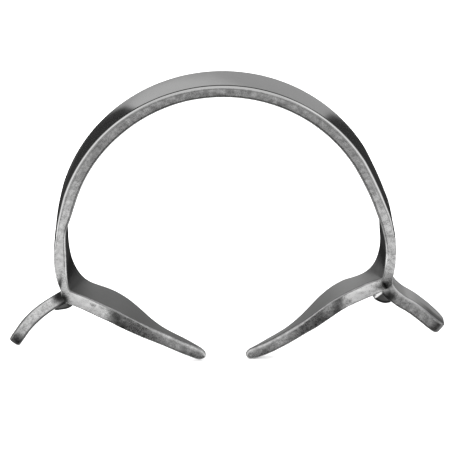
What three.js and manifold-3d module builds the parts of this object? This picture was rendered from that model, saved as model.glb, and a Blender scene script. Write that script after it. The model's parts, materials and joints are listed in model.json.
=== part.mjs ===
// Self-retaining cheek retractor: a sprung omega-shaped steel bow whose two ends
// each carry a long inner blade (inside the cheek) and a short outer blade
// (outside the cheek), joined at a brazed crotch.
//
// Millimetres, +Z up. X runs across the bow, left at -X. Y runs through the width
// of the strip, front at -Y. The origin is under the middle of the bow, level
// with the lowest blade tip.
import * as THREE from 'three';
import Module from 'manifold-3d';
import { mergeVertices } from 'three/addons/utils/BufferGeometryUtils.js';

const { smoothstep, lerp, degToRad, radToDeg } = THREE.MathUtils;

// ---- driving dimensions ------------------------------------------------------
const BOW_CENTRE_Z = 29.24;      // height of the bow's arc centre above the tips
const BOW_OUTER_R = 36.5;        // radius of the bow's outer face
const STRIP_THICKNESS = 2.75;    // at the crown
const BOW_MID_R = BOW_OUTER_R - STRIP_THICKNESS / 2;
const STRIP_WIDTH = 10.84;
const STRIP_CHAMFER = 0.35;      // broken edge along the strip
const FINGER_CHAMFER = 0.7;      // broken edge along the narrow end of an inner blade
const FLEX_ANGLE = 32;           // degrees from the crown to each flexing station
const FLEX_GAP = 0.3;            // slit between two lengths of the strip
const HALF_GAP_ANGLE = radToDeg(FLEX_GAP / 2 / BOW_MID_R);
const JOIN_GAP = 0.3;            // brazing gap between joined pieces
const BRAZE_WIDTH = 6.0;         // width of the brazing metal under a crotch
const JOIN_Z = -4;               // where the bow ends and an inner blade begins

// Half of the bow and its blades, one table a side, because the hand-formed
// sides differ a little. x is the distance from the middle plane and z the
// height from the bow's centre.
//   arcEnd      degrees above horizontal where the true arc ends
//   thicker     extra strip thickness low on the bow, over the crown's
//   corner      strip edges round the crotch: front inner x, z, back inner x, z, outer x, z
//   inner       middle line of the inner blade: x, z, thickness, half width;
//               its first row only sets the direction of the line
//   innerTwist  roll of the inner blade, degrees
//   tip         middle of the inner blade's end
//   outer       middle of the outer blade's front edge face: x, z
//   outerTwist  roll of the outer blade at root and tip, degrees
//   wedge       braze section: its apex, the two ends of its lower face, and how far
//               that face bows towards the apex, as a share of the section's height
const SIDES = {
  left: {
    sign: -1,
    arcEnd: 17,
    thicker: 0.2,
    corner: [
      [33.15, 6.9, 33.1, 6.9, 35.85, 6.9], [33.95, 4.8, 33.8, 4.8, 36.25, 4.8],
      [34.3, 3.0, 34.02, 3.0, 36.5, 3.0], [34.4, 0.8, 33.98, 0.8, 36.85, 0.8],
      [34.43, -1.5, 33.98, -1.5, 37.1, -1.5], [34.48, -4.0, 33.75, -4.0, 37.2, -4.0],
      [34.48, -6.0, 33.32, -6.0, 36.95, -6.2], [34.38, -7.8, 32.55, -8.0, 36.5, -8.0],
      [34.25, -8.95, 31.75, -9.4, 36.05, -9.6], [34.0, -9.5, 30.9, -10.45, 35.85, -11.2],
      [33.4, -9.85, 30.1, -11.15, 35.2, -12.15], [32.2, -10.35, 29.2, -11.7, 33.9, -12.95],
      [30.3, -11.25, 28.2, -12.15, 31.9, -13.9],
    ],
    inner: [
      [32.4, -11.8, 2.95, 5.42], [30.25, -12.99, 3.18, 5.42], [27.66, -14.25, 3.2, 5.5],
      [25.08, -15.55, 3.15, 5.7], [22.5, -17.23, 3.1, 5.45], [19.93, -19.16, 3.05, 4.4],
      [17.35, -21.13, 2.93, 3.1], [14.76, -22.8, 2.7, 2.35], [12.16, -24.28, 2.65, 2.0],
      [9.55, -25.72, 2.6, 1.85], [7.2, -27.05, 2.55, 1.75],
    ],
    innerTwist: -1.7,
    tip: [4.8, -28.4],
    outer: [
      [34.8, -11.4], [36.2, -12.1], [37.9, -13.1], [40.2, -14.65],
      [42.3, -16.4], [44.35, -18.5], [45.9, -20.55], [47.35, -22.6],
    ],
    outerThickness: 2.65,
    outerHalfWidth: 3.3,
    outerTwist: [-17, -11],
    wedge: { apex: [35.4, -11.6], innerEnd: [32.3, -15.6], outerEnd: [39.5, -16.9], arch: 0.2 },
  },
  right: {
    sign: 1,
    arcEnd: 25,
    thicker: 0,
    corner: [
      [32.05, 11.0, 32.0, 11.0, 34.85, 11.0], [33.35, 7.6, 33.3, 7.6, 36.05, 7.6],
      [34.1, 5.2, 34.0, 5.2, 36.85, 5.2], [34.8, 3.0, 34.45, 3.0, 37.35, 3.0],
      [35.3, 0.8, 34.75, 0.8, 37.65, 0.8], [35.7, -1.5, 34.78, -1.5, 38.0, -1.5],
      [35.8, -4.0, 34.85, -4.0, 38.1, -4.0], [35.6, -6.0, 34.65, -6.0, 37.95, -6.0],
      [35.35, -7.7, 34.15, -7.9, 37.6, -7.9], [35.1, -8.9, 33.45, -9.5, 37.25, -9.5],
      [34.7, -9.5, 32.5, -10.8, 37.0, -11.3], [33.9, -9.8, 31.3, -11.8, 36.1, -12.2],
      [32.7, -10.15, 29.9, -12.5, 34.5, -12.95], [30.9, -10.8, 28.5, -12.95, 32.15, -13.85],
    ],
    inner: [
      [32.9, -11.9, 2.9, 5.42], [30.2, -13.23, 3.12, 5.42], [27.5, -14.4, 3.15, 5.5],
      [24.83, -15.8, 3.1, 5.7], [22.13, -17.73, 3.05, 5.4], [19.43, -20.0, 2.95, 4.2],
      [16.74, -22.05, 2.75, 2.9], [14.04, -23.9, 2.7, 2.2], [11.33, -25.42, 2.65, 1.95],
      [8.62, -26.8, 2.6, 1.8], [6.6, -27.7, 2.5, 1.72],
    ],
    innerTwist: 3.5,
    tip: [4.25, -28.65],
    outer: [
      [35.7, -12.4], [36.95, -14.3], [38.74, -15.98], [41.06, -17.57],
      [43.14, -19.3], [45.4, -21.4], [47.65, -23.45],
    ],
    outerThickness: 2.95,
    outerHalfWidth: 3.6,
    outerTwist: [0, 0],
    wedge: { apex: [35.6, -12.2], innerEnd: [31.0, -15.7], outerEnd: [38.4, -17.7], arch: -0.06 },
  },
};

// ---- materials -----------------------------------------------------------------
const FINISHES = {
  strip: { color: 0xa9abad, roughness: 0.22 },
  innerBlade: { color: 0xa2a4a6, roughness: 0.25 },
  outerBlade: { color: 0xa2a4a6, roughness: 0.3 },
  braze: { color: 0x8f9092, roughness: 0.35 },
};
const metal = (finish) => new THREE.MeshStandardMaterial({ ...finish, metalness: 1 });

// ---- points in the x, z plane ------------------------------------------------------
const add = (p, q, scale) => [p[0] + q[0] * scale, p[1] + q[1] * scale];
const minus = (p, q) => add(p, q, -1);
const distance = (p, q) => Math.hypot(...minus(p, q));
const polar = (angle, radius) => [Math.cos(angle) * radius, Math.sin(angle) * radius];

function middle(...points) {
  return [0, 1].map((i) => points.reduce((sum, p) => sum + p[i], 0) / points.length);
}

function unit(p) {
  const length = Math.hypot(...p);
  return [p[0] / length, p[1] / length];
}

// The direction of a line at each of its rows, which begin with x, z.
function directions(rows) {
  const last = rows.length - 1;
  return rows.map((_, i) => unit(minus(rows[Math.min(i + 1, last)], rows[Math.max(i - 1, 0)])));
}

// Centripetal Catmull-Rom through rows of numbers, each span cut into `steps`.
// The first two columns set the spacing.
function through(rows, steps) {
  const count = rows.length;
  const mirrored = (end, next) => end.map((v, i) => 2 * v - next[i]);
  const extended = [
    mirrored(rows[0], rows[1]), ...rows, mirrored(rows[count - 1], rows[count - 2]),
  ];
  const knot = (p, q) => Math.sqrt(distance(p, q));
  const out = [];
  for (let k = 0; k < count - 1; k++) {
    const [before, start, end, after] = extended.slice(k, k + 4);
    const k0 = knot(before, start);
    const k1 = knot(start, end);
    const k2 = knot(end, after);
    const startSlope = start.map((v, i) => k1 * (
      (v - before[i]) / k0 - (end[i] - before[i]) / (k0 + k1) + (end[i] - v) / k1));
    const endSlope = start.map((v, i) => k1 * (
      (end[i] - v) / k1 - (after[i] - v) / (k1 + k2) + (after[i] - end[i]) / k2));
    for (let j = 0; j < steps; j++) {
      const w = j / steps;
      out.push(start.map((v, i) => v + startSlope[i] * w
        + (-3 * v + 3 * end[i] - 2 * startSlope[i] - endSlope[i]) * w * w
        + (2 * v - 2 * end[i] + startSlope[i] + endSlope[i]) * w ** 3));
    }
  }
  out.push([...rows[count - 1]]);
  return out;
}

// ---- strip stations ----------------------------------------------------------------
// A station holds the x, z of the strip's four edges (front inner, back inner,
// front outer, back outer), its half width and its chamfer. Packed, it is a row
// for `through`: the middle of the section, the edges, the half width.
const pack = ({ edges, halfWidth }) => [...middle(...edges), ...edges.flat(), halfWidth];
const unpack = (row) => ({
  edges: [2, 4, 6, 8].map((i) => row.slice(i, i + 2)),
  halfWidth: row[10],
});
const raised = (station, dz) => ({
  ...station,
  edges: station.edges.map(([x, z]) => [x, z + dz]),
});

function cornerStation(row) {
  const outer = row.slice(4);
  return { edges: [row.slice(0, 2), row.slice(2, 4), outer, outer], halfWidth: STRIP_WIDTH / 2 };
}

const seamIndex = (side) => side.corner.findIndex((row) => row[1] === JOIN_Z);

// The corners of a chamfered section, u across the strip (towards the back)
// and v outward.
function octagon(halfThickness, halfWidth, chamfer) {
  const c = Math.min(chamfer, 0.9 * halfThickness, 0.9 * halfWidth);
  const u = halfWidth - c;
  const v = halfThickness - c;
  return [
    [-u, -halfThickness], [u, -halfThickness], [halfWidth, -v], [halfWidth, v],
    [u, halfThickness], [-u, halfThickness], [-halfWidth, v], [-halfWidth, -v],
  ];
}

// A station's section in space, made larger all round by `grow`.
function ring({ edges, halfWidth, chamfer = STRIP_CHAMFER }, sign, grow = 0) {
  const across = minus(middle(edges[2], edges[3]), middle(edges[0], edges[1]));
  const outward = unit(across);
  const grown = edges.map((p, i) => add(p, outward, i < 2 ? -grow : grow));
  const b = halfWidth + grow;
  const h = Math.hypot(...across) / 2 + grow;
  return octagon(h, b, chamfer).map(([u, v]) => {
    const toBack = (u / b + 1) / 2;
    const toOuter = (v / h + 1) / 2;
    const [x, z] = [0, 1].map((i) => lerp(
      lerp(grown[0][i], grown[1][i], toBack),
      lerp(grown[2][i], grown[3][i], toBack),
      toOuter,
    ));
    return [x * sign, u, z];
  });
}

// Skins the rings and closes both ends, with the faces turned outward.
function solidFromRings(rings) {
  const size = rings[0].length;
  const points = rings.flat();
  const last = points.length - size;
  const faces = [];
  for (let start = 0; start < last; start += size) {
    for (let j = 0; j < size; j++) {
      const a = start + j;
      const b = start + (j + 1) % size;
      faces.push([a, b, b + size], [a, b + size, a + size]);
    }
  }
  for (let j = 1; j < size - 1; j++) {
    faces.push([0, j + 1, j], [last, last + j, last + j + 1]);
  }
  const vectors = points.map((p) => new THREE.Vector3(...p));
  const volume = faces.reduce((sum, [a, b, c]) => (
    sum + vectors[a].dot(vectors[b].clone().cross(vectors[c]))), 0);
  const index = volume < 0 ? faces.map(([a, b, c]) => [a, c, b]) : faces;
  const geometry = new THREE.BufferGeometry();
  geometry.setAttribute('position', new THREE.Float32BufferAttribute(points.flat(), 3));
  geometry.setIndex(index.flat());
  return geometry;
}

// ---- bow ---------------------------------------------------------------------------
const CROWN_SPANS = 16;
const LIMB_ARC_SPANS = 9;
const LIMB_STEPS = 3;            // steps between two rows below the arc
const LEAD_ANGLE = 5;            // degrees back to the station that leads the curve in
const THICKENING = [50, 78];     // degrees between which the strip thins to the crown's

function arcStation(degrees, side) {
  const angle = degToRad(degrees);
  const thickness = STRIP_THICKNESS + side.thicker * (1 - smoothstep(degrees, ...THICKENING));
  const inner = polar(angle, BOW_OUTER_R - thickness);
  const outer = polar(angle, BOW_OUTER_R);
  return { edges: [inner, inner, outer, outer], halfWidth: STRIP_WIDTH / 2 };
}

function bowCrown() {
  const from = 90 + FLEX_ANGLE - HALF_GAP_ANGLE;
  const to = 90 - FLEX_ANGLE + HALF_GAP_ANGLE;
  const rings = [];
  for (let i = 0; i <= CROWN_SPANS; i++) {
    const degrees = from + (to - from) * i / CROWN_SPANS;
    const side = degrees > 90 ? SIDES.left : SIDES.right;
    rings.push(ring(arcStation(degrees > 90 ? 180 - degrees : degrees, side), side.sign));
  }
  return solidFromRings(rings);
}

// One half from the flexing station down to the seam with the inner blade.
function bowLimb(side) {
  const from = 90 - FLEX_ANGLE - HALF_GAP_ANGLE;
  const to = side.arcEnd;
  const stations = [];
  for (let i = 0; i <= LIMB_ARC_SPANS; i++) {
    stations.push(arcStation(from + (to - from) * i / LIMB_ARC_SPANS, side));
  }
  const arm = side.corner.slice(0, seamIndex(side) + 1).map(cornerStation);
  const lead = [arcStation(to + LEAD_ANGLE, side), arcStation(to, side)];
  const curve = through([...lead, ...arm].map(pack), LIMB_STEPS);
  // leave out the lead, already in the arc, and the seam, which stops short of the blade
  stations.push(...curve.slice(LIMB_STEPS + 1, -1).map(unpack));
  stations.push(raised(arm[arm.length - 1], JOIN_GAP / 2));
  return solidFromRings(stations.map((station) => ring(station, side.sign)));
}

// ---- inner blade -------------------------------------------------------------------
const INNER_LINE_STEPS = 3;
const INNER_STEPS = 2;
const TWIST_FADE = [29, 35];     // x between which the blade's roll dies out
const CHAMFER_FADE = [14, 22];   // x between which the finger's chamfer becomes the strip's
const TIP_RINGS = 8;
const TIP_SWEEP = 0.965;         // share of the quarter turn that the rounded end covers
const TIP_MIN_WIDTH = 0.35;      // share of the half width that the rounding leaves
const TAPER_LENGTH = 6.5;        // end of the finger that also narrows
const TAPER = 0.5;               // share of the width the taper takes off at the tip

// Packed stations along the blade's own middle line.
function innerLineRows(side) {
  const line = through(side.inner, INNER_LINE_STEPS);
  const along = directions(line);
  const rows = line.map(([x, z, thickness, halfWidth], i) => {
    const normal = [-along[i][1], along[i][0]];
    const lean = Math.sin(degToRad(side.innerTwist)) * (1 - smoothstep(x, ...TWIST_FADE));
    const edges = [[-1, -1], [1, -1], [-1, 1], [1, 1]].map(([u, v]) => (
      add([x, z], normal, u * halfWidth * lean + v * thickness / 2)));
    return pack({ edges, halfWidth });
  });
  return rows.slice(INNER_LINE_STEPS);
}

// Stations that shrink from the last one to a rounded end at `tip`.
function roundedEnd(last, tip) {
  const centre = middle(...last.edges);
  const reach = minus(tip, centre);
  const stations = [];
  for (let i = 1; i <= TIP_RINGS; i++) {
    const w = Math.sin((i / TIP_RINGS) * (Math.PI / 2) * TIP_SWEEP);
    const shrink = Math.sqrt(1 - w ** 3);
    const c = add(centre, reach, w);
    stations.push({
      edges: last.edges.map((p) => add(c, minus(p, centre), shrink)),
      halfWidth: last.halfWidth * lerp(TIP_MIN_WIDTH, 1, shrink),
      chamfer: FINGER_CHAMFER,
    });
  }
  return stations;
}

function taperFinger(stations) {
  let left = 0;
  for (let i = stations.length - 1; i >= 0; i--) {
    if (i < stations.length - 1) {
      left += distance(middle(...stations[i].edges), middle(...stations[i + 1].edges));
    }
    stations[i].halfWidth *= 1 - TAPER * (1 - smoothstep(left, 0, TAPER_LENGTH));
  }
}

function innerBlade(side, grow = 0) {
  const corner = side.corner.slice(seamIndex(side)).map(cornerStation).map(pack);
  const rows = through([...corner, ...innerLineRows(side)], INNER_STEPS);
  const stations = rows.map((row) => ({
    ...unpack(row),
    chamfer: lerp(FINGER_CHAMFER, STRIP_CHAMFER, smoothstep(row[0], ...CHAMFER_FADE)),
  }));
  stations[0] = raised(stations[0], -JOIN_GAP / 2 + grow);
  stations.push(...roundedEnd(stations[stations.length - 1], side.tip));
  taperFinger(stations);
  return solidFromRings(stations.map((station) => ring(station, side.sign, grow)));
}

// ---- outer blade -------------------------------------------------------------------
const OUTER_LINE_STEPS = 40;
const OUTER_SPANS = 15;          // even spans before the tip
const OUTER_FRONT = 3.3;         // the front edge of an unrolled blade is at y = -OUTER_FRONT
const OUTER_TIP = 3.4;           // length over which the width rounds off
const OUTER_TIP_EDGE = 0.9;      // length over which the thickness rounds off
const OUTER_TIP_MARKS = [2.8, 2.2, 1.6, 1.1, 0.7, 0.4, 0.2, 0.06, 0]; // distances from the end
const OUTER_TWIST_SPAN = [0.1, 0.8]; // share of the length over which the roll changes

// Falls from 1 to `least` over the last `reach` of the blade.
function rounding(left, { least, reach, power }) {
  return least + (1 - least) * Math.sqrt(1 - Math.max(0, 1 - left / reach) ** power);
}

function outerBlade(side, grow = 0) {
  const line = through(side.outer, OUTER_LINE_STEPS);
  const lengths = [0];
  for (let i = 1; i < line.length; i++) {
    lengths.push(lengths[i - 1] + distance(line[i], line[i - 1]));
  }
  const total = lengths[lengths.length - 1];
  const marks = [];
  for (let i = 0; i <= OUTER_SPANS; i++) marks.push((total - OUTER_TIP) * i / OUTER_SPANS);
  marks.push(...OUTER_TIP_MARKS.map((left) => total - left));

  const rings = marks.map((mark) => {
    const j = Math.max(lengths.findIndex((length) => length >= mark - 1e-9), 1);
    const step = minus(line[j], line[j - 1]);
    const w = (mark - lengths[j - 1]) / (lengths[j] - lengths[j - 1]);
    const [alongX, alongZ] = unit(step);
    const normal = [-alongZ, alongX];
    const left = total - mark;
    const halfWidth = grow
      + side.outerHalfWidth * rounding(left, { least: 0.45, reach: OUTER_TIP, power: 2.6 });
    const halfThickness = grow + (side.outerThickness / 2)
      * rounding(left, { least: 0.52, reach: OUTER_TIP_EDGE, power: 2 });
    const twist = degToRad(
      lerp(...side.outerTwist, smoothstep(mark / total, ...OUTER_TWIST_SPAN)));
    const cos = Math.cos(twist);
    const sin = Math.sin(twist);
    // the roll turns about the front edge
    const centre = add(add(line[j - 1], step, w), normal, side.outerHalfWidth * sin);
    return octagon(halfThickness, halfWidth, STRIP_CHAMFER).map(([u, v]) => {
      const [x, z] = add(centre, normal, u * sin + v * cos);
      return [x * side.sign, u * cos - v * sin + side.outerHalfWidth - OUTER_FRONT, z];
    });
  });
  return solidFromRings(rings);
}

// ---- braze -------------------------------------------------------------------------
const ARCH_SPANS = 8;

// Brazing metal under the crotch: a web between the undersides of both blades,
// set in from their edges, with an arched lower face (hollow left, full right).
function brazeWedge({ sign, wedge: { apex, innerEnd, outerEnd, arch } }) {
  const rise = minus(apex, middle(innerEnd, outerEnd));
  const face = minus(outerEnd, innerEnd);
  const points = [apex];
  for (let i = 0; i <= ARCH_SPANS; i++) {
    const u = i / ARCH_SPANS;
    points.push(add(add(innerEnd, face, u), rise, arch * 4 * u * (1 - u)));
  }
  const shape = new THREE.Shape(points.map(([x, z]) => new THREE.Vector2(x * sign, z)));
  const settings = { depth: BRAZE_WIDTH, bevelEnabled: false, steps: 1 };
  const geometry = new THREE.ExtrudeGeometry(shape, settings);
  geometry.rotateX(Math.PI / 2);   // the shape's y becomes z, the extrusion runs along -Y
  geometry.translate(0, BRAZE_WIDTH / 2, 0);
  return geometry;
}

// ---- cutting one joined piece back from another -------------------------------------
const wasm = await Module();
wasm.setup();

function toManifold(geometry) {
  // normals and uvs would keep coincident corners from merging
  geometry.deleteAttribute('normal');
  geometry.deleteAttribute('uv');
  const merged = mergeVertices(geometry, 1e-5);
  return new wasm.Manifold(new wasm.Mesh({
    numProp: 3,
    vertProperties: new Float32Array(merged.attributes.position.array),
    triVerts: new Uint32Array(merged.index.array),
  }));
}

function toGeometry(manifold) {
  const { vertProperties, triVerts } = manifold.getMesh();
  const geometry = new THREE.BufferGeometry();
  const positions = Float32Array.from(vertProperties);
  geometry.setAttribute('position', new THREE.BufferAttribute(positions, 3));
  geometry.setIndex(new THREE.BufferAttribute(Uint32Array.from(triVerts), 1));
  return geometry;
}

// What is left of a piece after the cutters, without its small offcuts.
function cutBack(geometry, ...cutters) {
  const rest = cutters.reduce((piece, cutter) => piece.subtract(cutter), toManifold(geometry));
  return toGeometry(rest.decompose().sort((a, b) => b.volume() - a.volume())[0]);
}

// ---- assembly ----------------------------------------------------------------------
const retractor = new THREE.Group();
const bow = new THREE.Group();
bow.position.z = BOW_CENTRE_Z;
retractor.add(bow);

function put(name, geometry, finish) {
  geometry.computeVertexNormals();
  const mesh = new THREE.Mesh(geometry, metal(finish));
  mesh.name = name;
  bow.add(mesh);
}

put('bow_crown', bowCrown(), FINISHES.strip);
for (const [name, side] of Object.entries(SIDES)) {
  const innerCutter = toManifold(innerBlade(side, JOIN_GAP));
  const outerCutter = toManifold(outerBlade(side, JOIN_GAP));
  const outer = cutBack(outerBlade(side), innerCutter);
  const braze = cutBack(brazeWedge(side), innerCutter, outerCutter);
  put(`bow_${name}_limb`, bowLimb(side), FINISHES.strip);
  put(`${name}_inner_blade`, innerBlade(side), FINISHES.innerBlade);
  put(`${name}_outer_blade`, outer, FINISHES.outerBlade);
  put(`${name}_braze_fillet`, braze, FINISHES.braze);
}

export default retractor;
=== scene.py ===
"""Self-retaining cheek retractor: a polished steel bow, an inner and an outer blade at
each end of it, and the brazing metal under each crotch.

Lengths are in millimetres about the centre of the bow's arc: x to the right, y to the
back, z up. Both sides are described with x positive, and the left one is mirrored. Each
mesh is put into the frame (metres, blade tips near z = 0) as it is made."""
import json
import math

import bpy
import numpy as np
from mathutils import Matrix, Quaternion, Vector

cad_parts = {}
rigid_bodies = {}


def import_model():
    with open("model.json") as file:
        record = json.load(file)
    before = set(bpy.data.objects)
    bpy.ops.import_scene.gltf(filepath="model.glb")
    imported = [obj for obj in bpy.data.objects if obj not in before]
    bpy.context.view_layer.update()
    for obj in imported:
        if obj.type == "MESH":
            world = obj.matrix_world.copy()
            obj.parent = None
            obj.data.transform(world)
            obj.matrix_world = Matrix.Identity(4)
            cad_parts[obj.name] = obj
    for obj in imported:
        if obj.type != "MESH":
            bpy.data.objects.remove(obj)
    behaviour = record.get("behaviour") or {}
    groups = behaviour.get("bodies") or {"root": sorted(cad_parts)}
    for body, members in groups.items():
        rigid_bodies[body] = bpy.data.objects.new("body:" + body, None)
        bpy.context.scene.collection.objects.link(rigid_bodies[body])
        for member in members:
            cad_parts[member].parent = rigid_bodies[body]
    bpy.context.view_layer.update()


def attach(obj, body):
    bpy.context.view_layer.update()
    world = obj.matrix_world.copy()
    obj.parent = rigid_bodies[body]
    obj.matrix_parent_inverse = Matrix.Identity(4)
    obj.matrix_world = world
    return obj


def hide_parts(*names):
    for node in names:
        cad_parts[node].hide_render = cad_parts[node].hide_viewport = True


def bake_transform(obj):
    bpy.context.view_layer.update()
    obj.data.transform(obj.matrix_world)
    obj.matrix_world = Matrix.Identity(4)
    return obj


for old in list(bpy.data.objects):
    bpy.data.objects.remove(old)

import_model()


# ---- driving dimensions ------------------------------------------------------------
ARC_CENTRE_Z = 29.24  # height of the bow's arc centre in the frame
OUTER_R = 36.5        # outer radius of the bow
CROWN_T = 2.75        # strip thickness at the crown
HALF_W = 5.42         # half width of the strip
RING_STEP = 0.2       # spacing of the rings along a strip
SEAM_Z = -4.0         # the bow ends and the inner blade begins here
SEAM_GAP = 0.015      # extra rings this far from the crown and the seam

# Per side:
# arc_end: angle above horizontal that limits the true arc; thicker: extra low on the arc
# corner: edges round the crotch, each row (x, z) of front-inner, back-inner, outer
# inner: middle line of the inner blade: x, z, thickness, half width
# the patches of painted shade on the front round the joint's hollow: x, z, half length, half width,
# direction, strength
# outer: middle of the outer blade's front face, x, z; outer_twist: roll at root and tip
# wedge: brazing metal: top, inner and outer foot (x, z), arch of the foot line, height
#        of the painted shade on the lower part (below a painted highlight), and share of the foot
#        line at the inner end without that shade
# painted light and shade of the bow, inner blade and outer blade, used where each piece is made
SIDES = {
    "left": dict(
        sign=-1, seed=1, arc_end=14, thicker=0.2,
        corner=[
            [(33.15, 6.9), (33.1, 6.9), (35.85, 6.9)], [(33.95, 4.8), (33.8, 4.8), (36.25, 4.8)],
            [(34.3, 3.0), (34.02, 3.0), (36.5, 3.0)], [(34.4, 0.8), (33.98, 0.8), (36.85, 0.8)],
            [(34.43, -1.5), (33.98, -1.5), (37.1, -1.5)],
            [(34.48, -4.0), (33.75, -4.0), (37.2, -4.0)],
            [(34.48, -6.0), (33.32, -6.0), (36.95, -6.2)],
            [(34.38, -7.8), (32.55, -8.0), (36.5, -8.0)],
            [(34.25, -8.95), (31.75, -9.4), (36.05, -9.6)],
            [(34.0, -9.5), (30.9, -10.45), (35.85, -11.2)],
            [(33.4, -9.85), (30.1, -11.15), (35.2, -12.15)],
            [(32.2, -10.35), (29.2, -11.7), (33.9, -12.95)],
            [(30.3, -11.25), (28.2, -12.15), (31.9, -13.9)]],
        inner=[
            [30.25, -12.99, 3.18, 5.42], [27.66, -14.25, 3.2, 5.5], [25.08, -15.55, 3.15, 5.7],
            [22.5, -17.23, 3.1, 5.45], [19.93, -19.16, 3.05, 4.4], [17.35, -21.13, 2.93, 3.1],
            [14.76, -22.8, 2.7, 2.35], [12.16, -24.28, 2.65, 2.0], [9.55, -25.72, 2.6, 1.85],
            [7.2, -27.05, 2.55, 1.75]],
        inner_twist=-1.7, tip=[4.8, -28.4], crotch=(36.3, -12.2),
        stain=[(36.3, -11.7, 2.3, 1.75, 30, 0.95), (36.25, -8.2, 2.2, 0.5, -76, 0.86),
               (29.3, -13.0, 0.9, 0.45, 25, 0.6)],
        outer=[[34.8, -11.4], [36.2, -12.1], [37.9, -13.1], [40.2, -14.65], [42.3, -16.4],
               [44.35, -18.5], [45.9, -20.55], [47.35, -22.6]],
        outer_t=2.65, outer_twist=(-17, -11), outer_half_w=3.3, outer_slim=0.0,
        wedge=dict(apex=[35.4, -11.6], inner_foot=[32.3, -15.6], outer_foot=[39.5, -16.9],
                   arch=0.2, rim=0.58, bare=0.0),
        bow_tone=1.05,
        blade_tone=dict(dark_x=24.0, bright_x=31.4, bright=1.5, top=0.6, top_root=0.24),
        outer_tone=dict(front=-0.02, tip=0.8),
    ),
    "right": dict(
        sign=1, seed=2, arc_end=22, thicker=0.0,
        corner=[
            [(32.05, 11.0), (32.0, 11.0), (34.85, 11.0)], [(33.35, 7.6), (33.3, 7.6), (36.05, 7.6)],
            [(34.1, 5.2), (34.0, 5.2), (36.85, 5.2)], [(34.8, 3.0), (34.45, 3.0), (37.35, 3.0)],
            [(35.3, 0.8), (34.75, 0.8), (37.65, 0.8)], [(35.7, -1.5), (34.78, -1.5), (38.0, -1.5)],
            [(35.8, -4.0), (34.85, -4.0), (38.1, -4.0)],
            [(35.6, -6.0), (34.65, -6.0), (37.95, -6.0)],
            [(35.35, -7.7), (34.15, -7.9), (37.6, -7.9)],
            [(35.1, -8.9), (33.45, -9.5), (37.25, -9.5)],
            [(34.7, -9.5), (32.5, -10.8), (37.0, -11.3)],
            [(33.9, -9.8), (31.3, -11.8), (36.1, -12.2)],
            [(32.7, -10.15), (29.9, -12.5), (34.5, -12.95)],
            [(30.9, -10.8), (28.5, -12.95), (32.15, -13.85)]],
        inner=[
            [30.2, -13.23, 3.12, 5.42], [27.5, -14.4, 3.15, 5.5], [24.83, -15.8, 3.1, 5.7],
            [22.13, -17.73, 3.05, 5.4], [19.43, -20.0, 2.95, 4.2], [16.74, -22.05, 2.75, 2.9],
            [14.04, -23.9, 2.7, 2.2], [11.33, -25.42, 2.65, 1.95], [8.62, -26.8, 2.6, 1.8],
            [6.6, -27.7, 2.5, 1.72]],
        inner_twist=3.5, tip=[4.25, -28.65], crotch=(35.6, -12.6),
        stain=[(35.5, -11.6, 1.7, 0.45, -62, 0.93), (36.4, -14.6, 1.5, 1.2, -40, 0.9),
               (36.4, -10.4, 1.9, 1.7, 0, 0.5), (27.2, -14.6, 0.9, 0.6, 25, 0.5)],
        outer=[[35.7, -12.4], [36.95, -14.3], [38.74, -15.98], [41.06, -17.57], [43.14, -19.3],
               [45.4, -21.4], [47.65, -23.45]],
        outer_t=2.95, outer_twist=(0, 0), outer_half_w=3.6, outer_slim=0.34,
        wedge=dict(apex=[35.6, -12.2], inner_foot=[31.0, -15.7], outer_foot=[38.4, -17.7],
                   arch=-0.06, rim=0.82, bare=0.16),
        bow_tone=0.8,
        blade_tone=dict(dark_x=24.9, bright_x=29.6, bright=1.1, top=0.36, top_root=0.22),
        outer_tone=dict(front=-0.3, tip=0.3),
    ),
}


# ---- numbers and paths ---------------------------------------------------------------
def ease(x, low, high):
    """A smooth step from 0 at low to 1 at high."""
    t = np.clip((np.asarray(x, float) - low) / (high - low), 0, 1)
    return t * t * (3 - 2 * t)


def bump(x, centre, width):
    return np.exp(-(((x - centre) / width) ** 2))


def noise_field(points, wavelength, seed, waves=40):
    """A smooth random field with a spread of 1, the same every time."""
    draw = np.random.default_rng(seed)
    vectors = draw.normal(size=(waves, 3))
    vectors /= np.linalg.norm(vectors, axis=1)[:, None]
    vectors *= (2 * math.pi / wavelength) * draw.uniform(0.6, 1.5, waves)[:, None]
    phases = draw.uniform(0, 2 * math.pi, waves)
    flat = points.reshape(-1, 3)
    total = np.zeros(len(flat))
    for vector, phase in zip(vectors, phases):
        total += np.cos(flat @ vector + phase)
    return (total * math.sqrt(2.0 / waves)).reshape(points.shape[:2])


def catmull(points, count):
    """Centripetal Catmull-Rom through x, z in the first two columns; the others ride along."""
    points = np.asarray(points, float)
    last = len(points) - 1
    position = np.linspace(0, 1, count) * last
    index = np.minimum(np.floor(position).astype(int), last - 1)
    w = (position - index)[:, None]
    padded = np.vstack([2 * points[0] - points[1], points, 2 * points[-1] - points[-2]])
    before, start, end, after = (padded[index + i] for i in range(4))

    def gap(a, b):
        return np.maximum(np.linalg.norm(a[:, :2] - b[:, :2], axis=1) ** 0.5, 1e-4)[:, None]

    gap_in, span, gap_out = gap(before, start), gap(start, end), gap(end, after)
    leave = (start - before) / gap_in - (end - before) / (gap_in + span) + (end - start) / span
    arrive = (end - start) / span - (after - start) / (span + gap_out) + (after - end) / gap_out
    leave, arrive = leave * span, arrive * span
    return (start + leave * w + (-3 * start + 3 * end - 2 * leave - arrive) * w**2
            + (2 * start - 2 * end + leave + arrive) * w**3)


def path_lengths(path):
    """Length from the start of a path to each of its points."""
    return np.concatenate([[0], np.cumsum(np.linalg.norm(np.diff(path[:, :2], axis=0), axis=1))])


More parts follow.
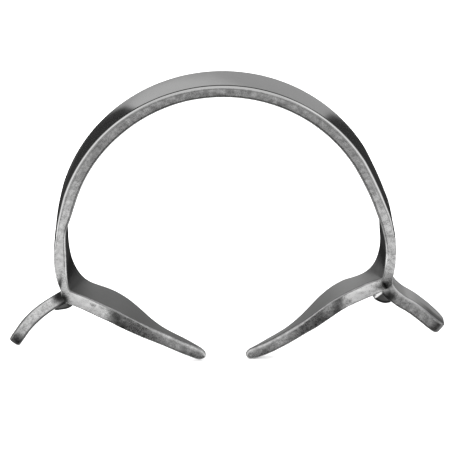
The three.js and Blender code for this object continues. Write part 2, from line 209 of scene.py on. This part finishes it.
def resample(path, step, extra=()):
    """Lengths, rows and tangents at an even spacing, and at the extra lengths."""
    along = path_lengths(path)
    total = along[-1]
    count = max(2, int(round(total / step)))
    at = np.concatenate([np.linspace(0, total, count + 1), list(extra)])
    at = np.unique(np.round(at, 6))
    at = at[(at >= 0) & (at <= total)]

    def sample(where, columns):
        return np.stack([np.interp(where, along, path[:, c]) for c in columns], 1)

    reach = 0.05
    tangent = sample(np.minimum(at + reach, total), (0, 1))
    tangent -= sample(np.maximum(at - reach, 0), (0, 1))
    tangent /= np.linalg.norm(tangent, axis=1)[:, None]
    return at, sample(at, range(path.shape[1])), tangent


# ---- section of a strip ----------------------------------------------------------------
# "across" runs over the width, towards the back; "outward" runs through the thickness.
FACE_POINTS, EDGE_POINTS, CORNER_STEPS = 26, 12, 6
# signs of across and outward at each corner
CORNERS = dict(front_outer=(-1, 1), front_inner=(-1, -1), back_inner=(1, -1), back_outer=(1, 1))


def unit_section():
    """(part, parameter) for every point round the section, the same for every ring."""
    out = []
    for part, count, way, corner in (
            ("outer", FACE_POINTS, -1, "front_outer"), ("front", EDGE_POINTS, -1, "front_inner"),
            ("inner", FACE_POINTS, 1, "back_inner"), ("back", EDGE_POINTS, 1, "back_outer")):
        out += [(part, way * (2 * (i + 0.5) / count - 1)) for i in range(count)]
        out += [(corner, i / CORNER_STEPS) for i in range(CORNER_STEPS + 1)]
    return out


SECTION = unit_section()


def corner_mask(*corners):
    return np.array([float(part in corners) for part, _ in SECTION])


def section(half_t, half_w, radii, outer_bulge, inner_bulge, edge_bulge):
    """across and outward (rings, points) from per-ring arrays, and ground (points), which
    is 1 on the narrow edges and 0 on the broad faces."""
    shape = (len(half_t), len(SECTION))
    across, outward, ground = np.zeros(shape), np.zeros(shape), np.zeros(shape[1])
    for j, (part, p) in enumerate(SECTION):
        if part in CORNERS:
            r = radii[part]
            sign_a, sign_o = CORNERS[part]
            turn = p if sign_a != sign_o else 1 - p      # 0 at the face, 1 at the edge
            angle = turn * math.pi / 2
            across[:, j] = sign_a * ((half_w - r) + r * math.sin(angle))
            outward[:, j] = sign_o * ((half_t - r) + r * math.cos(angle))
            ground[j] = ease(turn, 0.55, 1)
        elif part in ("outer", "inner"):
            across[:, j] = p * (half_w - radii[f"{'back' if p > 0 else 'front'}_{part}"])
            outward[:, j] = half_t if part == "outer" else -half_t
        else:
            across[:, j] = half_w if part == "back" else -half_w
            outward[:, j] = p * (half_t - radii[f"{part}_{'outer' if p > 0 else 'inner'}"])
            ground[j] = 1
    a = np.clip(np.abs(across) / half_w[:, None], 0, 1)
    o = outward / half_t[:, None]
    bulge = (np.clip(o, 0, 1) * outer_bulge[:, None]
             - np.clip(-o, 0, 1) * inner_bulge[:, None]) * (1 - a**2)
    widen = np.sign(across) * edge_bulge[:, None] * (1 - np.clip(np.abs(o), 0, 1)**2) * a
    return across + widen, outward + bulge, ground


def add_tube(name, material, points, lengths, tone, ground, sign, domed=False, soft=0.0, far=0.0):
    """A closed tube from rings of points (rings, around, 3), with a flat cap at its start
    and a flat or domed one at its end. The rest are per ring point, for the material."""
    points = points * np.array([sign, 1, 1])
    rings, around = points.shape[:2]
    coords = points.reshape(-1, 3)
    layers = {key: np.broadcast_to(values, (rings, around)).ravel() for key, values in
              (("tone", tone), ("ground", ground), ("soft", soft), ("far", far))}
    # texture coordinate: length along the strip, and length round its middle ring
    steps = np.linalg.norm(np.diff(points[rings // 2], axis=0), axis=1)
    along = np.repeat(lengths, around)
    perimeter = np.tile(np.concatenate([[0], np.cumsum(steps)]), rings)

    index = np.arange(rings * around).reshape(rings, around)
    here, ahead = index[:-1], index[1:]
    quads = np.stack([here, np.roll(here, -1, 1), np.roll(ahead, -1, 1), ahead], -1)
    faces = [tuple(quad) for quad in quads.reshape(-1, 4).tolist()]
    caps = [tuple(index[0][::-1].tolist())]
    faces.append(caps[0])
    last = index[-1].tolist()
    if domed:
        centre = points[-1].mean(0)
        centre = centre + (centre - points[-2].mean(0)) * 0.5
        faces += [(last[j], last[(j + 1) % around], len(coords)) for j in range(around)]
        coords = np.vstack([coords, centre])
        for key, values in layers.items():
            end = 0 if key == "far" else values[-around:].mean()
            layers[key] = np.append(values, end)
        along, perimeter = np.append(along, along[-1]), np.append(perimeter, 0)
    else:
        caps.append(tuple(last))
        faces.append(caps[1])

    # turn the faces outwards, judged by the volume they enclose
    triangles = np.array([f[:3] for f in faces if len(f) <= 4]
                         + [(f[0], f[2], f[3]) for f in faces if len(f) == 4])
    a, b, c = (coords[triangles[:, i]] for i in range(3))
    if np.einsum("ij,ij->i", a, np.cross(b, c)).sum() < 0:
        faces = [f[::-1] for f in faces]

    mesh = bpy.data.meshes.new(name)
    mesh.from_pydata(((coords + [0, 0, ARC_CENTRE_Z]) * 0.001).tolist(), [], faces)
    mesh.polygons.foreach_set("use_smooth", [True] * len(mesh.polygons))
    for key, values in layers.items():
        layer = mesh.attributes.new(key, "FLOAT", "POINT")
        layer.data.foreach_set("value", values.astype(np.float32))
    uv = mesh.uv_layers.new(name="strip")
    loop = np.zeros(len(mesh.loops), np.int32)
    mesh.loops.foreach_get("vertex_index", loop)
    pairs = np.stack([along[loop], perimeter[loop]], 1)
    uv.data.foreach_set("uv", pairs.astype(np.float32).ravel())
    rim = {frozenset(pair) for cap in caps for pair in zip(cap, cap[1:] + cap[:1])}
    is_sharp = [frozenset(edge.vertices) in rim for edge in mesh.edges]
    sharp = mesh.attributes.new("sharp_edge", "BOOLEAN", "EDGE")
    sharp.data.foreach_set("value", is_sharp)
    mesh.update()
    piece = bpy.data.objects.new(name, mesh)
    bpy.context.scene.collection.objects.link(piece)
    mesh.materials.append(material)
    return piece


# ---- surface: unevenness, hollow and painted shade round it --------------------------------
def roughen(points, across, ground, seed):
    """Ground edges are a little uneven."""
    amount = 0.010
    uneven = noise_field(points, 1.15, seed) * 0.7
    uneven += noise_field(points, 1.15 * 2.3, seed + 1) * 0.9
    points[..., 1] += np.sign(across) * amount * uneven * ground


def wave(points, normal, outward, ground, seed):
    """Polished faces carry a long faint waviness."""
    amount = 0.006
    shift = noise_field(points, 9.0, seed) * amount * (1 - ground) * np.sign(outward)
    points[..., 0] += normal[:, :1] * shift
    points[..., 2] += normal[:, 1:] * shift


def dip(points, side):
    """The joint's front is dressed back into a small hollow."""
    depth, radius = 0.55, 1.6
    x, z = side["crotch"]
    away = (points[..., 0] - x) ** 2 + (points[..., 2] - z) ** 2
    points[..., 1] += depth * np.exp(-away / radius**2) * ease(-points[..., 1], 1.0, 4.8)


def hollow_shade_tone(points, side):
    """Painted shade: darker patches on the front round that hollow, standing in for its dark
    reflection.
    """
    tone = 1
    for x, z, half_l, half_w, turn, strength in side["stain"]:
        c, s = math.cos(math.radians(turn)), math.sin(math.radians(turn))
        dx, dz = points[..., 0] - x, points[..., 2] - z
        away = ((dx * c + dz * s) / half_l) ** 2 + ((dz * c - dx * s) / half_w) ** 2
        tone = tone * (1 - strength * np.exp(-(away**2)) * ease(-points[..., 1], 0.5, 2.0))
    return tone


# ---- the strip of each side: bow, arm and inner blade as one loft ---------------------------
# A station holds x, z of the four edges of the section (front-inner, back-inner,
# front-outer, back-outer) and the half width. At the crotch the front-inner edge turns
# sharply and the back-inner edge turns through a wide fillet.
def arc_station(degrees, side):
    angle = math.radians(degrees)
    ray = np.array([math.cos(angle), math.sin(angle)])
    inner = (OUTER_R - CROWN_T - side["thicker"] * (1 - ease(degrees, 50, 78))) * ray
    outer = OUTER_R * ray
    return [*inner, *inner, *outer, *outer, HALF_W]


def stations(side):
    out = [arc_station(90, side)]
    out += [arc_station(degrees, side) for degrees in np.arange(88.0, side["arc_end"] + 3, -3.0)]
    out += [[*front, *back, *outer, *outer, HALF_W] for front, back, outer in side["corner"]]
    # the blade beyond the crotch, from the second row of its middle line on
    _, rows, tangents = resample(catmull(side["inner"], 3001), 1.2)
    twist = math.sin(math.radians(side["inner_twist"]))
    for (x, z, thickness, half_w), (along_x, along_z) in zip(rows, tangents):
        if x > side["inner"][1][0]:
            continue
        normal = np.array([-along_z, along_x])
        lean = twist * (1 - ease(x, 29, 35))
        edges = [np.array([x, z]) + normal * (a * half_w * lean + o * thickness / 2)
                 for o in (-1, 1) for a in (-1, 1)]
        out.append([*np.concatenate(edges), half_w])
    return np.array(out)


def loft(side):
    """Dense rows (middle x, z, then a station) and the length at which the seam lies."""
    rows = stations(side)
    middle = (rows[:, 0:2] + rows[:, 2:4] + rows[:, 4:6] + rows[:, 6:8]) / 4
    dense = catmull(np.hstack([middle, rows]), 12001)
    inner_z = (dense[:, 3] + dense[:, 5]) / 2
    along = path_lengths(dense)
    low = np.argmax((inner_z < SEAM_Z) & (dense[:, 0] > 30))
    part = (inner_z[low - 1] - SEAM_Z) / (inner_z[low - 1] - inner_z[low])
    return dense, float(along[low - 1] + part * (along[low] - along[low - 1]))


def round_tip(side, at, edges, half_w, finger):
    """Adds the shrinking rings of the inner blade's tip, and narrows the last 6.5 mm."""
    centre = edges[-1].mean(0)
    to_tip = np.array(side["tip"]) - centre
    reach = np.sin(np.linspace(0, 1, 20)[1:] * math.pi / 2 * 0.965)
    shrink = np.sqrt(np.maximum(1 - reach**3.0, 0.003))
    more = (centre + to_tip * reach[:, None, None]
            + (edges[-1] - centre) * shrink[:, None, None])
    edges = np.concatenate([edges, more])
    half_w = np.concatenate([half_w, half_w[-1] * (0.35 + 0.65 * shrink)])
    at = np.concatenate([at, at[-1] + np.linalg.norm(to_tip) * reach])
    finger = np.concatenate([finger, np.ones(len(reach))])
    half_w = half_w * (1 - 0.5 * (1 - ease(at[-1] - at, 0, 6.5)))
    return at, edges, half_w, finger


def strip(side, is_blade):
    """Rings of the bow half or of the inner blade: lengths, lengths beyond the seam,
    across, outward, points, ground."""
    dense, seam = loft(side)
    marks = (SEAM_GAP, seam - SEAM_GAP, seam, seam + SEAM_GAP)
    at, rows, _ = resample(dense, RING_STEP, extra=marks)
    keep = at >= seam - 1e-5 if is_blade else at <= seam + 1e-5
    at, rows = at[keep], rows[keep]
    edges, half_w = rows[:, 2:10].reshape(-1, 4, 2), rows[:, 10]
    if is_blade:
        finger = 1 - ease(rows[:, 0], 13, 21)     # 1 on the narrow end of the blade
        at, edges, half_w, finger = round_tip(side, at, edges, half_w, finger)
    else:
        finger = np.zeros(len(at))
        # the crown's seam stands exactly in the middle plane, on the true arc
        edges[0, :, 0] = 0
        edges[:2, :2, 1], edges[:2, 2:, 1] = OUTER_R - CROWN_T, OUTER_R
    beyond = at - seam

    normal = (edges[:, 2] + edges[:, 3]) / 2 - (edges[:, 0] + edges[:, 1]) / 2
    thickness = np.linalg.norm(normal, axis=1)
    normal /= thickness[:, None]
    half_t = thickness / 2
    down = 1 - ease((edges[:, 0, 1] + edges[:, 2, 1]) / 2, -2, 12)  # lower arm and beyond
    # corner radii; the front edge that faces up on a blade is the inner one
    radii = dict(
        front_outer=0.74 - 0.48 * down + 0.2 * finger,
        front_inner=0.62 - 0.3 * ease(beyond, 1, 5) + 0.55 * finger,
        back_inner=0.50 + 0.4 * finger,
        back_outer=0.30 + 0.5 * finger,
    )
    limit = np.minimum(half_t, half_w) * 0.9
    thin = np.minimum(1, half_t)
    across, outward, ground = section(
        half_t, half_w, {corner: np.minimum(r, limit) for corner, r in radii.items()},
        outer_bulge=(0.11 - 0.07 * finger) * thin,
        inner_bulge=0.05 * thin,
        edge_bulge=(0.05 + 0.03 * finger) * thin)
    # front corners count as ground where they are worn
    front_inner, front_outer = corner_mask("front_inner"), corner_mask("front_outer")
    finger, down = finger[:, None], down[:, None]
    ground = np.maximum(ground, front_inner * np.maximum(finger * 0.9, down * 0.45))
    ground = np.maximum(ground, front_outer * down * 0.9)

    # stretch each section between its four edges
    a = ((across / half_w[:, None] + 1) / 2)[..., None]
    o = ((outward / half_t[:, None] + 1) / 2)[..., None]
    fi, bi, fo, bo = (edges[:, i][:, None, :] for i in range(4))
    spot = (1 - o) * ((1 - a) * fi + a * bi) + o * ((1 - a) * fo + a * bo)
    points = np.stack([spot[..., 0], across, spot[..., 1]], -1)
    roughen(points, across, ground, 10 + side["seed"])
    wave(points, normal, outward, ground, 20 + side["seed"])
    dip(points, side)
    return at, beyond, across, outward, points, ground


# ---- materials ------------------------------------------------------------------------------
class Nodes:
    """Short calls that fill the emptied node tree of a material or world."""

    def __init__(self, owner):
        owner.use_nodes = True
        self.tree = owner.node_tree
        self.tree.nodes.clear()

    def add(self, kind, inputs=None, **settings):
        """A node; an input is given a value or another node's output."""
        node = self.tree.nodes.new(kind)
        for key, value in settings.items():
            setattr(node, key, value)
        for key, value in (inputs or {}).items():
            if isinstance(value, bpy.types.NodeSocket):
                self.tree.links.new(value, node.inputs[key])
            else:
                node.inputs[key].default_value = value
        return node

    def out(self, kind, inputs=None, **settings):
        return self.add(kind, inputs, **settings).outputs[0]

    def math(self, operation, *values):
        return self.out("ShaderNodeMath", dict(enumerate(values)), operation=operation)

    def chain(self, operation, first, *rest):
        for value in rest:
            first = self.math(operation, first, value)
        return first

    def plus(self, *values):
        return self.chain("ADD", *values)

    def times(self, *values):
        return self.chain("MULTIPLY", *values)

    def minus(self, a, b):
        return self.math("SUBTRACT", a, b)

    def ramp(self, value, low, high, at_low=0.0, at_high=1.0, kind="SMOOTHSTEP"):
        """at_low where value is low or less, rising or falling to at_high at high."""
        inputs = {"Value": value, "From Min": low, "From Max": high,
                  "To Min": at_low, "To Max": at_high}
        return self.add("ShaderNodeMapRange", inputs, interpolation_type=kind,
                        clamp=True).outputs["Result"]

    def attribute(self, name):
        return self.add("ShaderNodeAttribute", attribute_name=name).outputs["Fac"]


def steel(name, reflectance, face_roughness, edge_roughness, grain, seed):
    """Polished steel with ground edges; grain is the scale of the fine noise, per mm."""
    material = bpy.data.materials.new(name)
    n = Nodes(material)
    ground, tone = n.attribute("ground"), n.attribute("tone")
    soft, far = n.attribute("soft"), n.attribute("far")

    # object coordinates are metres; 1000 makes the noises count in millimetres
    coords = n.add("ShaderNodeTexCoord").outputs["Object"]
    in_mm = n.out("ShaderNodeVectorMath", {0: coords, "Scale": 1000}, operation="SCALE")
    shifted = n.out("ShaderNodeVectorMath", {0: in_mm, 1: (seed * 3.1, seed * 1.7, seed)},
                    operation="ADD")
    # long fine polishing lines along the strip, from its own length/width coordinate
    strip_uv = n.out("ShaderNodeUVMap", uv_map="strip")
    stretched = n.out("ShaderNodeVectorMath", {0: strip_uv, 1: (0.35, 7.0, 1)},
                      operation="MULTIPLY")

    def noise(vector, **inputs):
        return n.add("ShaderNodeTexNoise", {"Vector": vector, **inputs}).outputs["Fac"]

    lines = noise(stretched, Scale=1.0, Detail=4)
    blotch = noise(shifted, Scale=0.9, Detail=5, Roughness=0.62)
    fine = noise(shifted, Scale=grain, Detail=3)
    cells = n.add("ShaderNodeTexVoronoi", {"Scale": 1.1, "Vector": shifted})
    pit = n.ramp(cells.outputs["Distance"], low=0.03, high=0.12)

    def spread(noise_value, at_low, at_high):
        return n.ramp(noise_value, 0.3, 0.7, at_low, at_high, "LINEAR")

    # reflectance: blotchy on ground edges, faintly lined on faces
    edge_change = n.times(
        n.ramp(blotch, low=0.36, high=0.66, at_low=0.68, at_high=1.26, kind="LINEAR"),
        spread(fine, at_low=0.74, at_high=1.26))
    face_change = spread(lines, at_low=0.97, at_high=1.03)
    change = n.plus(n.times(edge_change, ground), n.times(face_change, n.minus(1.0, ground)))
    value = n.math("MINIMUM", n.times(tone, change, reflectance), 0.96)
    # a trace of warmth: a little less green and blue
    color = n.out("ShaderNodeCombineColor",
                  {0: value, 1: n.times(value, 0.999), 2: n.times(value, 0.996)})

    # satin where soft is 1, mirror-like where it is 0
    satin = n.plus(face_roughness, n.times(soft, 0.30))
    rough_face = n.times(satin, spread(lines, at_low=0.8, at_high=1.25))
    rough_edge = spread(fine, at_low=edge_roughness * 0.8, at_high=edge_roughness * 1.25)
    roughness = n.out("ShaderNodeMix", {0: ground, 2: rough_face, 3: rough_edge},
                      data_type="FLOAT")

    # bumps: grain on ground edges, then faint lines and a few pits
    grain_bump = n.out("ShaderNodeBump", {
        "Distance": 0.00003, "Strength": n.times(ground, 0.55),
        "Height": n.plus(n.times(fine, 0.6), n.times(blotch, 0.9))})
    normal = n.out("ShaderNodeBump", {
        "Distance": 0.000004, "Strength": 0.25, "Normal": grain_bump,
        "Height": n.plus(n.times(lines, 0.5), n.times(pit, 0.6))})
    # edges on the far side are less metallic
    surface = n.out("ShaderNodeBsdfPrincipled", {
        "Base Color": color, "Metallic": n.minus(1.0, n.times(far, 0.45)),
        "Roughness": roughness, "Normal": normal})
    n.add("ShaderNodeOutputMaterial", {"Surface": surface})
    return material


STRIP_STEEL = steel("polished_strip_steel", reflectance=0.62, face_roughness=0.10,
                    edge_roughness=0.30, grain=4.5, seed=1)
BLADE_STEEL = steel("polished_blade_steel", reflectance=0.62, face_roughness=0.10,
                    edge_roughness=0.30, grain=4.0, seed=2)
BRAZE_METAL = steel("braze_metal", reflectance=0.45, face_roughness=0.22,
                    edge_roughness=0.30, grain=3.0, seed=3)


# ---- pieces -----------------------------------------------------------------------------------
# tone multiplies the steel's reflectance; it carries painted light and shade
def bow_half(name, side):
    """Half of the bow, from the middle of the crown to the seam with the inner blade."""
    sign = side["sign"]
    at, _, across, _, points, ground = strip(side, is_blade=False)
    front = (across < 0) * ground
    low = 1 - ease(points[..., 2], 0.0, 24.0)
    # painted light and shade: the front edge is dull at the crown and brighter low down, its
    # corners are darker to dim their highlights, and the joint's hollow is shaded
    tone = (1 + front * (-0.3 + side["bow_tone"] * low)) * hollow_shade_tone(points, side)
    tone = tone * (1 - 0.5 * corner_mask("front_outer", "front_inner") * low)
    tone = tone * (1 - 0.45 * corner_mask("front_outer") * (1 - low))
    bow = add_tube(f"bow_{name}_half", STRIP_STEEL, points, at, tone, ground, sign,
                   far=(across > 0) * ground)
    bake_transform(bow)
    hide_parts("bow_crown", f"bow_{name}_limb")


def inner_blade(name, side):
    at, beyond, across, outward, points, ground = strip(side, is_blade=True)
    look = side["blade_tone"]
    x = points[..., 0]
    dimmed_corner = corner_mask("front_inner") * ease(beyond, 1, 5)[:, None]
    front = (across < 0) * ground * (1 - dimmed_corner)
    top = (outward < 0) * (1 - ground)
    # painted light on the front edge: lighter towards the root, with a dark patch and a painted
    # highlight
    tone = 1 + front * (0.4 * ease(x, 24, 27) - 0.02)
    tone = tone * (1 - front * 0.76 * bump(x, centre=look["dark_x"], width=1.8))
    tone = tone * (1 + front * look["bright"] * bump(x, centre=look["bright_x"], width=2.4))
    # painted shade on the upper face: darker, most at the root
    tone = tone * (1 - top * (look["top"] + look["top_root"] * ease(x, 28, 34)))
    # painted shade: the front-inner corner past the seam is dimmed, and the joint's hollow is
    # shaded
    tone = tone * (1 - 0.45 * dimmed_corner) * hollow_shade_tone(points, side)
    blade = add_tube(f"{name}_inner_blade_shell", BLADE_STEEL, points, at, tone, ground,
                     side["sign"], domed=True, soft=ease(beyond, 0.5, 6)[:, None],
                     far=(across > 0) * ground)
    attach(blade, f"{name}_limb")
    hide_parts(f"{name}_inner_blade")


# lengths before the outer blade's tip that get an extra ring
TIP_MARKS = np.array([0.8, 0.7, 0.6, 0.5, 0.42, 0.34, 0.27, 0.2, 0.14, 0.09, 0.05, 0.02, 0.004])
FRONT_HALF_W = 3.3    # a wider outer blade grows from this half width towards the back only


def outer_blade(name, side):
    full_w = side["outer_half_w"]
    path = catmull(side["outer"], 2001)
    total = path_lengths(path)[-1]
    at, rows, tangent = resample(path, RING_STEP, extra=total - TIP_MARKS)
    part, to_tip = at / total, total - at
    normal = np.stack([-tangent[:, 1], tangent[:, 0]], 1)

    def near_tip(length):
        """0 until this length before the tip, 1 at the tip."""
        return np.clip(1 - to_tip / length, 0, 1)

    half_w = full_w * (0.45 + 0.55 * np.sqrt(np.maximum(1 - near_tip(3.4)**2.6, 0)))
    # rounded off further at the back of the tip
    slim = half_w * side["outer_slim"] * (1 - np.sqrt(1 - near_tip(6.0)**2))
    half_w = half_w - slim
    half_t = side["outer_t"] / 2 * (0.52 + 0.48 * np.sqrt(1 - near_tip(0.9)**2))
    radius = np.minimum(0.5, np.minimum(half_t, half_w) * 0.9)
    across, outward, ground = section(
        half_t, half_w, dict.fromkeys(CORNERS, radius),
        outer_bulge=np.full(len(at), 0.08), inner_bulge=np.full(len(at), 0.04),
        edge_bulge=np.full(len(at), 0.05))

    # roll the section about the middle of its front face
    root, tip = side["outer_twist"]
    twist = np.radians(root + (tip - root) * ease(part, 0.1, 0.8))[:, None]
    middle = rows + normal * (full_w * np.sin(twist))
    lift = across * np.sin(twist) + outward * np.cos(twist)
    points = np.stack([
        middle[:, :1] + normal[:, :1] * lift,
        across * np.cos(twist) - outward * np.sin(twist) + full_w - FRONT_HALF_W - slim[:, None],
        middle[:, 1:] + normal[:, 1:] * lift], -1)
    dip(points, side)
    roughen(points, across, ground, 30 + side["seed"])

    look = side["outer_tone"]
    front = (across < 0) * ground
    upper = (outward > 0) * (1 - ground)
    corner = corner_mask("front_outer", "front_inner")
    # painted light and shade: the front edge's brightness, the joint's hollow shaded, darker
    # corners and a darker front near the tip
    tone = (1 + front * look["front"]) * hollow_shade_tone(points, side)
    tone = tone * (1 - 0.5 * corner * (1 - ground))
    tone = tone * (1 - front * look["tip"] * ease(4.4 - to_tip, 0.0, 2.6)[:, None])
    # painted shade: the front half of its outer face is darker towards the tip
    shade = ease(-across / half_w[:, None], 0.0, 0.5) * ease(part, 0.45, 0.75)[:, None]
    tone = tone * (1 - upper * 0.65 * shade)
    blade = add_tube(f"{name}_outer_blade_shell", BLADE_STEEL, points, at, tone, ground,
                     side["sign"], domed=True, soft=1.0, far=(across > 0) * ground)
    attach(blade, f"{name}_limb")
    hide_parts(f"{name}_outer_blade")


def braze(name, side):
    """A saddle under the crotch with a rounded lower rim; its front and back lean in upwards."""
    wedge = side["wedge"]
    apex, inner_foot, outer_foot = (
        np.array(wedge[key]) for key in ("apex", "inner_foot", "outer_foot"))
    # profile from front to back: y as a share of the half width, and height from 0 to 1
    round_top, lean = 0.3, 0.42
    wall = [(1 - lean * (v - round_top) / (1 - round_top), v)
            for v in np.linspace(1, round_top, 12)]
    profile = np.array(
        [(-y, v) for y, v in wall]
        + [(-math.cos(a), round_top * (1 - math.sin(a))) for a in np.linspace(0, math.pi, 31)[1:-1]]
        + wall[::-1])
    share_y, height = profile.T

    part = np.linspace(0.02, 0.98, 61)
    u = part[:, None]
    middle = (inner_foot + outer_foot) / 2
    low = inner_foot + (outer_foot - inner_foot) * u
    low = low + (apex - middle) * wedge["arch"] * 4 * u * (1 - u)
    span = (apex - low) * 0.85
    full = (4 * u * (1 - u)) ** 0.35           # 1 in the middle, falling to the ends
    rise = height * full + 1 - full
    points = np.stack([low[:, :1] + span[:, :1] * rise, share_y * (2.2 + 0.9 * full),
                       low[:, 1:] + span[:, 1:] * rise], -1)
    points[..., 1] += noise_field(points, 2.4, 5) * 0.03
    points[..., 2] += noise_field(points, 2.6, 6) * 0.03
    # painted shade on the lower part and a painted highlight above it; the shaded band thins out
    # towards both ends
    share = np.clip((part - wedge["bare"]) / (1 - wedge["bare"]), 0, 1)
    rim = wedge["rim"] * np.sin(math.pi * share) ** 0.8
    tone = 0.14 + 2.2 * ease(height - rim[:, None], 0.0, 0.08)
    piece = add_tube(f"{name}_braze", BRAZE_METAL, points, part * 8, tone, 0.15, side["sign"])
    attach(piece, f"{name}_limb")
    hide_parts(f"{name}_braze_fillet")


# ---- floor, surroundings and camera --------------------------------------------------------------
def add_floor():
    """White paper that is clear from below and unseen in reflections."""
    reach = 12.0
    mesh = bpy.data.meshes.new("floor")
    corners = [(x * reach, y * reach, 0) for x, y in ((-1, -1), (1, -1), (1, 1), (-1, 1))]
    mesh.from_pydata(corners, [], [(0, 1, 2, 3)])
    floor = bpy.data.objects.new("floor", mesh)
    bpy.context.scene.collection.objects.link(floor)
    floor.visible_glossy = False
    material = bpy.data.materials.new("floor_paper")
    n = Nodes(material)
    backfacing = n.add("ShaderNodeNewGeometry").outputs["Backfacing"]
    paper = n.out("ShaderNodeBsdfDiffuse", {"Color": (0.93, 0.93, 0.93, 1)})
    clear = n.out("ShaderNodeBsdfTransparent")
    surface = n.out("ShaderNodeMixShader", {0: backfacing, 1: paper, 2: clear})
    n.add("ShaderNodeOutputMaterial", {"Surface": surface})
    mesh.materials.append(material)


def add_world():
    """Even white light; reflections see a studio drawn by direction instead."""
    world = bpy.data.worlds.new("studio")
    bpy.context.scene.world = world
    n = Nodes(world)
    direction = n.add("ShaderNodeTexCoord").outputs["Generated"]
    x, y, z = n.add("ShaderNodeSeparateXYZ", {0: direction}).outputs

    # grey backdrop behind, between two slanting dark sides, brighter above a slanting line
    left_edge = n.plus(x, 0.275, n.times(z, 0.2))
    right_edge = n.minus(n.plus(n.times(z, 0.49), 0.32), x)
    inside = n.times(
        n.ramp(left_edge, low=-0.012, high=0.012), n.ramp(right_edge, low=-0.012, high=0.012),
        n.ramp(z, low=-0.3, high=-0.05), n.ramp(z, low=0.52, high=0.58, at_low=1.0, at_high=0.0),
        n.ramp(y, low=0.2, high=0.4))
    split = n.minus(z, n.plus(n.times(x, 0.7), 0.34))
    backdrop = n.times(inside, n.ramp(split, low=-0.09, high=0.07, at_low=0.37, at_high=0.54))
    # an arch of soft light over the middle, open below
    arch = n.times(
        n.ramp(n.math("ABSOLUTE", n.plus(y, 0.12)), low=0.34, high=0.5, at_low=1.0, at_high=0.0),
        n.ramp(z, low=-0.6, high=-0.35), 1.45)
    # a weaker light from below
    under = n.times(
        n.ramp(n.math("ABSOLUTE", n.minus(y, 0.25)), low=0.35, high=0.6, at_low=1.0, at_high=0.0),
        n.ramp(z, low=-0.75, high=-0.5, at_low=0.55, at_high=0.0))
    # a soft panel in front, brighter above
    front = n.times(
        n.ramp(y, low=-0.8, high=-0.6, at_low=1.0, at_high=0.0),
        n.ramp(z, low=-0.6, high=-0.1, at_low=0.10, at_high=0.85, kind="LINEAR"))
    front_top = n.times(
        n.ramp(y, low=-0.6, high=-0.4, at_low=1.0, at_high=0.0),
        n.ramp(z, low=0.42, high=0.6, at_low=0.0, at_high=1.1))
    # a soft light at each side
    sides = n.times(
        n.ramp(n.math("ABSOLUTE", x), low=0.5, high=0.7),
        n.ramp(y, low=0.65, high=0.8, at_low=1.0, at_high=0.0),
        n.ramp(z, low=-0.8, high=-0.5, at_low=0.0, at_high=0.5))
    ambient = 0.035
    studio = n.plus(n.plus(backdrop, front_top, sides, arch), n.plus(under, front, ambient))

    plain_light = 2.2
    glossy = n.add("ShaderNodeLightPath").outputs["Is Glossy Ray"]
    strength = n.plus(n.times(studio, glossy), n.times(n.minus(1.0, glossy), plain_light))
    light = n.out("ShaderNodeBackground", {"Color": (1, 1, 1, 1), "Strength": strength})
    n.add("ShaderNodeOutputWorld", {0: light})


def add_camera():
    """A long lens in front, looking down at the middle of the retractor (metres)."""
    target, distance = Vector((0.000696, 0, 0.03166)), 1.1894
    elevation, roll = math.radians(20), -0.0405
    data = bpy.data.cameras.new("camera")
    data.sensor_width, data.lens = 36, 432
    data.clip_start, data.clip_end = 0.05, 60
    camera = bpy.data.objects.new("camera", data)
    bpy.context.scene.collection.objects.link(camera)
    back = Vector((0, -math.cos(elevation), math.sin(elevation)))
    camera.location = target + back * distance
    camera.rotation_mode = "QUATERNION"
    aim = (-back).to_track_quat("-Z", "Y")
    camera.rotation_quaternion = aim @ Quaternion((0, 0, 1), roll)
    bpy.context.scene.camera = camera


for side_name, side_data in SIDES.items():
    for build in (bow_half, inner_blade, outer_blade, braze):
        build(side_name, side_data)
add_floor()
add_world()
add_camera()
bpy.context.scene.view_settings.view_transform = "Standard"
bpy.context.scene.view_settings.look = "None"
